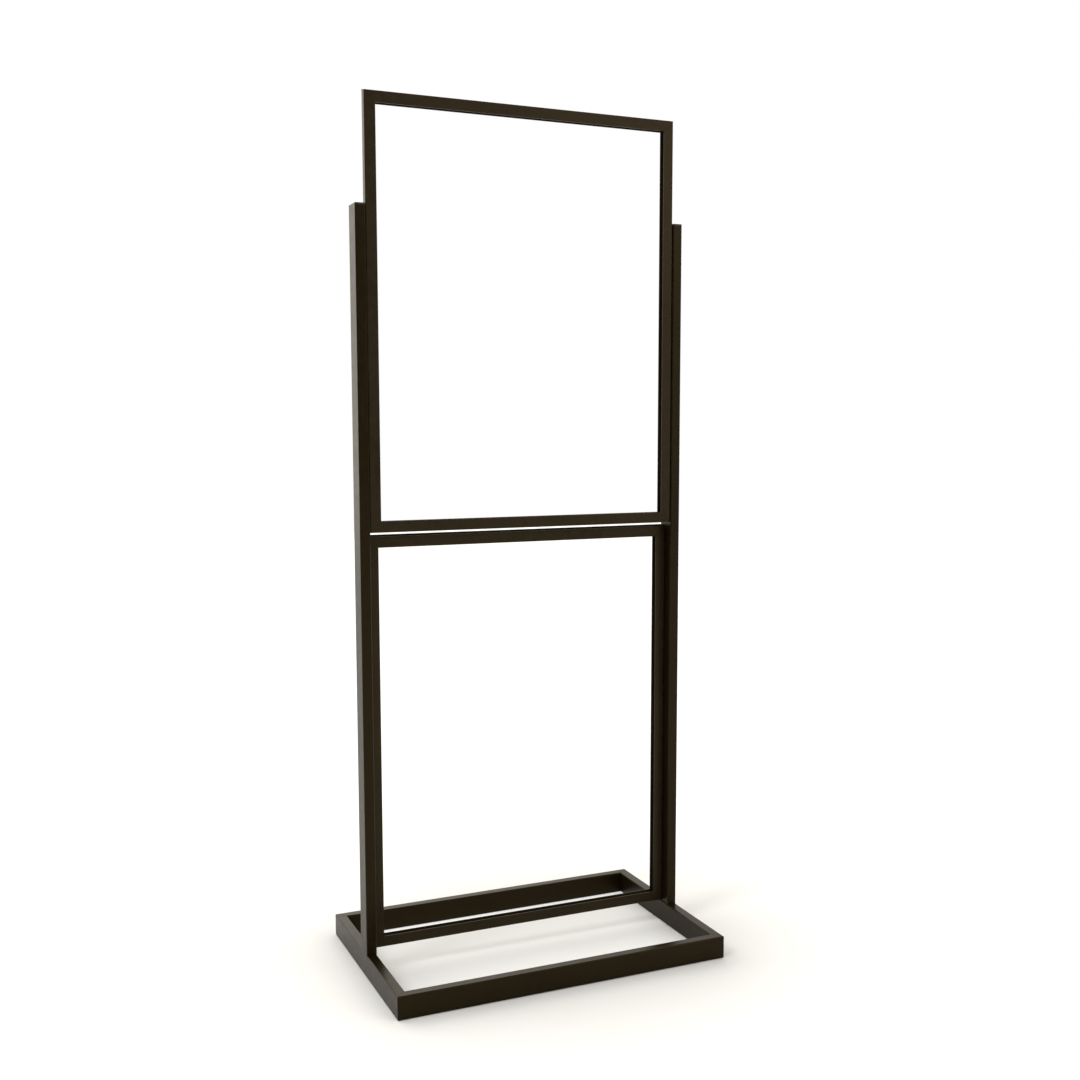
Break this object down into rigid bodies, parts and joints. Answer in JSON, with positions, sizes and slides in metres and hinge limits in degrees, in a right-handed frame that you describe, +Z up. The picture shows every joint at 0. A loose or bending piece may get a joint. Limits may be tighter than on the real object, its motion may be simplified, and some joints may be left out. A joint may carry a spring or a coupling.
{
  "type": "sign stand",
  "caption": "Freestanding sign stand: a flat rectangular tube base, upright posts, and open channel frames stacked between them that take poster cards slid in from above.",
  "frame": {"origin": "on the floor, under the centre of the base", "axes": "+X to the stand's right across its width, +Y to the back, +Z up; the front of the stand faces -Y"},
  "size_m": [0.6096, 0.384, 1.4945],
  "materials": {
    "powder_coat": "satin dark bronze powder coat",
    "frame_coat": "satin dark bronze powder coat, a shade lighter, with fine forming lines along each member",
    "cap_plastic": "moulded, fine texture",
    "glide_plastic": "moulded, matt",
    "zinc_steel": "bright zinc plate",
    "black_screw_steel": "black oxide"
  },
  "bodies": {
    "root": {"back_left_glide": "glide_plastic", "back_right_glide": "glide_plastic", "base_back_rail": "powder_coat", "base_front_rail": "powder_coat", "base_left_rail": "powder_coat", "base_right_rail": "powder_coat", "front_left_glide": "glide_plastic", "front_right_glide": "glide_plastic", "left_post": "powder_coat", "left_post_cap": "cap_plastic", "left_post_inner_weld": "powder_coat", "left_post_outer_weld": "powder_coat", "lower_frame_bottom_rail": "frame_coat", "lower_frame_inserts": "zinc_steel", "lower_frame_left_stile": "frame_coat", "lower_frame_right_stile": "frame_coat", "lower_frame_screws": "black_screw_steel", "lower_frame_top_front_strip": "frame_coat", "lower_frame_top_rear_strip": "frame_coat", "right_post": "powder_coat", "right_post_cap": "cap_plastic", "right_post_inner_weld": "powder_coat", "right_post_outer_weld": "powder_coat", "upper_frame_bottom_rail": "frame_coat", "upper_frame_inserts": "zinc_steel", "upper_frame_left_stile": "frame_coat", "upper_frame_right_stile": "frame_coat", "upper_frame_screws": "black_screw_steel", "upper_frame_top_front_strip": "frame_coat", "upper_frame_top_rear_strip": "frame_coat"}
  },
  "joints": []
}
